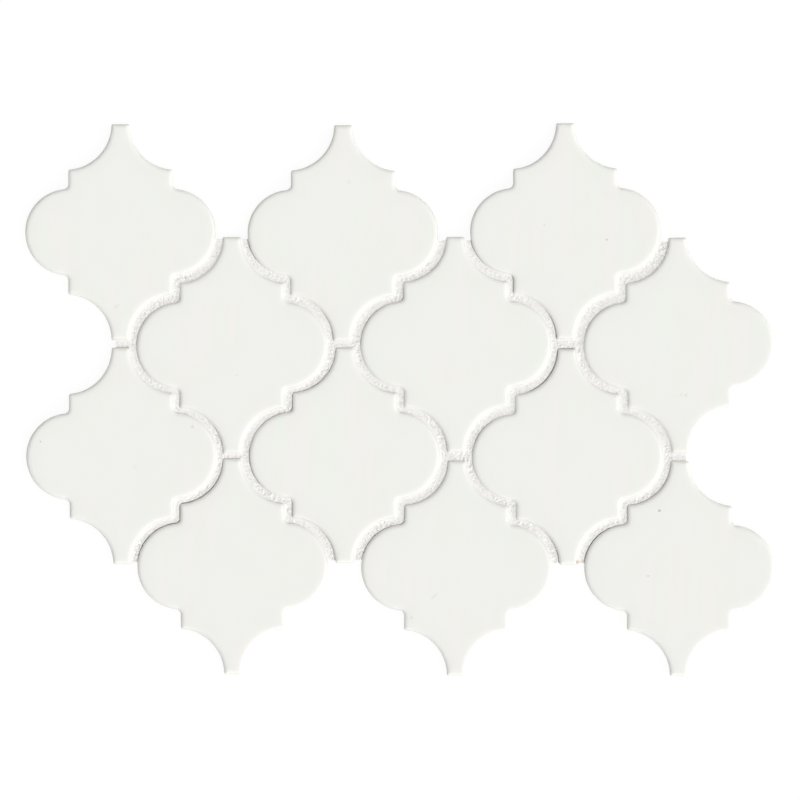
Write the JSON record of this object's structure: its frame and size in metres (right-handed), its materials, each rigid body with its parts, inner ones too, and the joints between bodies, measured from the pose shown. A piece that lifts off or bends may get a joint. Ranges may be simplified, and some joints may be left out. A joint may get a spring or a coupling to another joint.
{
  "type": "arabesque lantern mosaic tile sheet",
  "caption": "Sheet of glazed arabesque lantern tiles on a backing net, with sanded grout in the joints and stepped edges that interlock with the next sheet.",
  "frame": {"origin": "centre of the sheet's footprint, on the underside of the backing net", "axes": "+X along the rows of tiles, +Y to the first row as the pattern is looked at, +Z out of the glazed faces"},
  "size_m": [0.3694, 0.2726, 0.008],
  "materials": {
    "glazed_tile": "gloss",
    "grout": "matte",
    "net": "matte"
  },
  "bodies": {
    "root": {"lantern_tile_r1_c1": "glazed_tile", "lantern_tile_r1_c2": "glazed_tile", "lantern_tile_r1_c3": "glazed_tile", "lantern_tile_r2_c1": "glazed_tile", "lantern_tile_r2_c2": "glazed_tile", "lantern_tile_r2_c3": "glazed_tile", "lantern_tile_r3_c1": "glazed_tile", "lantern_tile_r3_c2": "glazed_tile", "lantern_tile_r3_c3": "glazed_tile", "lantern_tile_r4_c1": "glazed_tile", "lantern_tile_r4_c2": "glazed_tile", "lantern_tile_r4_c3": "glazed_tile", "grout_joints": "grout", "backing_net": "net"}
  },
  "joints": []
}
